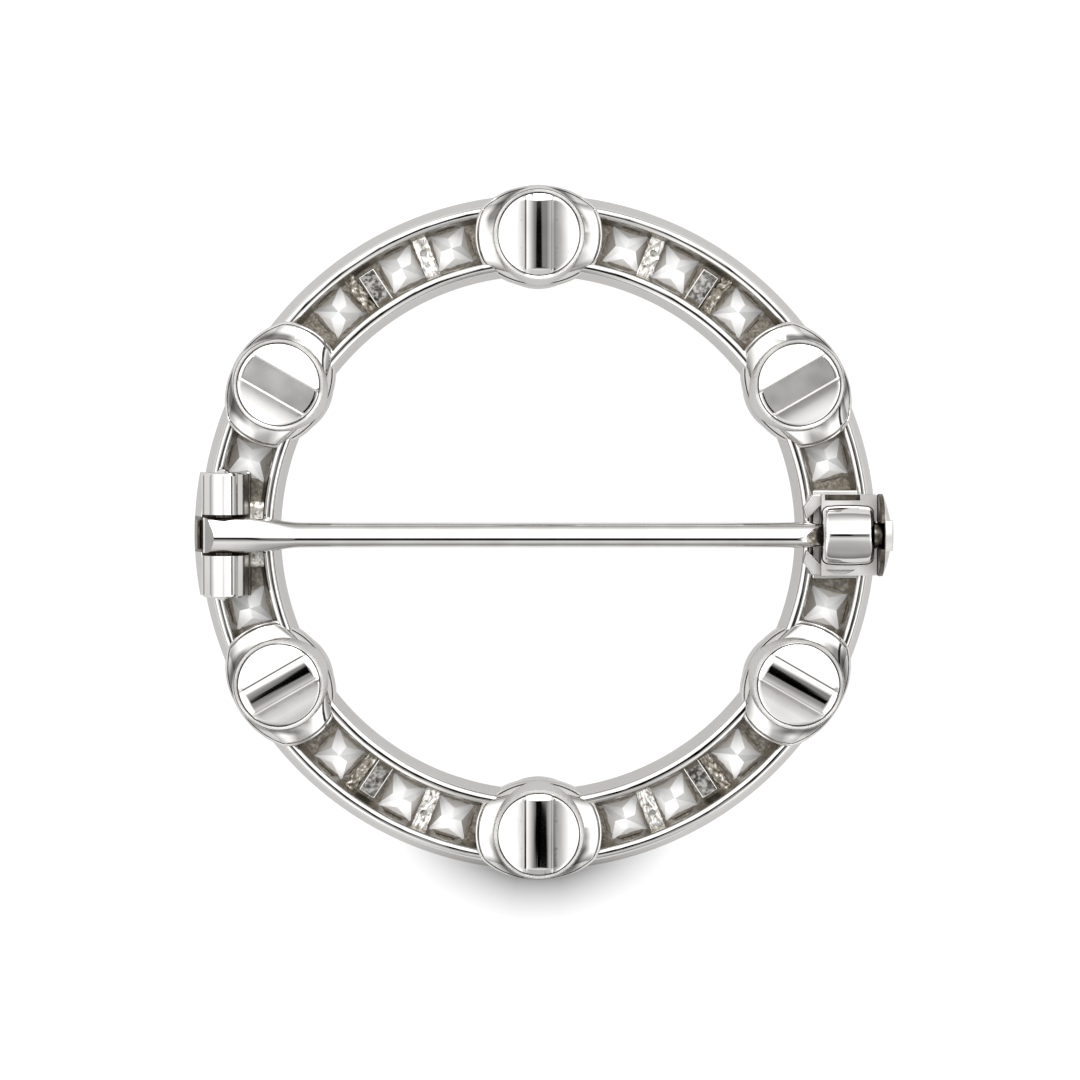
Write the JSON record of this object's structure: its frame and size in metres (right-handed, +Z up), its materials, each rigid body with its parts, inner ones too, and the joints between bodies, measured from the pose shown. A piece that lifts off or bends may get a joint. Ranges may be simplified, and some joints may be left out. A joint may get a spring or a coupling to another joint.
{
  "type": "circle brooch",
  "caption": "Round channel-set brooch with slotted round stations, lying face down, with a hinged pin across its back and a turning roller catch.",
  "frame": {"origin": "centre of the ring, on the floor that its six front discs rest on", "axes": "+X along the pin from its hinge to its catch, +Y across the pin in the ring's plane, +Z up, from the front of the brooch to its pin side"},
  "size_m": [0.0309, 0.0312, 0.0047],
  "materials": {
    "white_gold": "mirror polished, rhodium plated",
    "white_gold_heads": "mirror polished, rhodium plated",
    "square_stones": "cut and polished facets"
  },
  "bodies": {
    "frame": {"ring_frame": "white_gold", "hinge_rivet": "white_gold", "slotted_head_1": "white_gold_heads", "slotted_head_2": "white_gold_heads", "slotted_head_3": "white_gold_heads", "slotted_head_4": "white_gold_heads", "slotted_head_5": "white_gold_heads", "slotted_head_6": "white_gold_heads", "stone_01": "square_stones", "stone_02": "square_stones", "stone_03": "square_stones", "stone_04": "square_stones", "stone_05": "square_stones", "stone_06": "square_stones", "stone_07": "square_stones", "stone_08": "square_stones", "stone_09": "square_stones", "stone_10": "square_stones", "stone_11": "square_stones", "stone_12": "square_stones", "stone_13": "square_stones", "stone_14": "square_stones", "stone_15": "square_stones", "stone_16": "square_stones"},
    "pin": {"pin_stem": "white_gold"},
    "catch": {"catch_roller": "white_gold"}
  },
  "joints": [
    {"name": "pin_hinge", "type": "hinge", "parent": "frame", "child": "pin", "pos_m": [-0.01388, 0, 0.0029], "axis": [0, -1, 0], "range_deg": [0, 95]},
    {"name": "catch_turn", "type": "hinge", "parent": "frame", "child": "catch", "pos_m": [0.0149, 0, 0.0029], "axis": [1, 0, 0], "range_deg": [0, 180]}
  ]
}
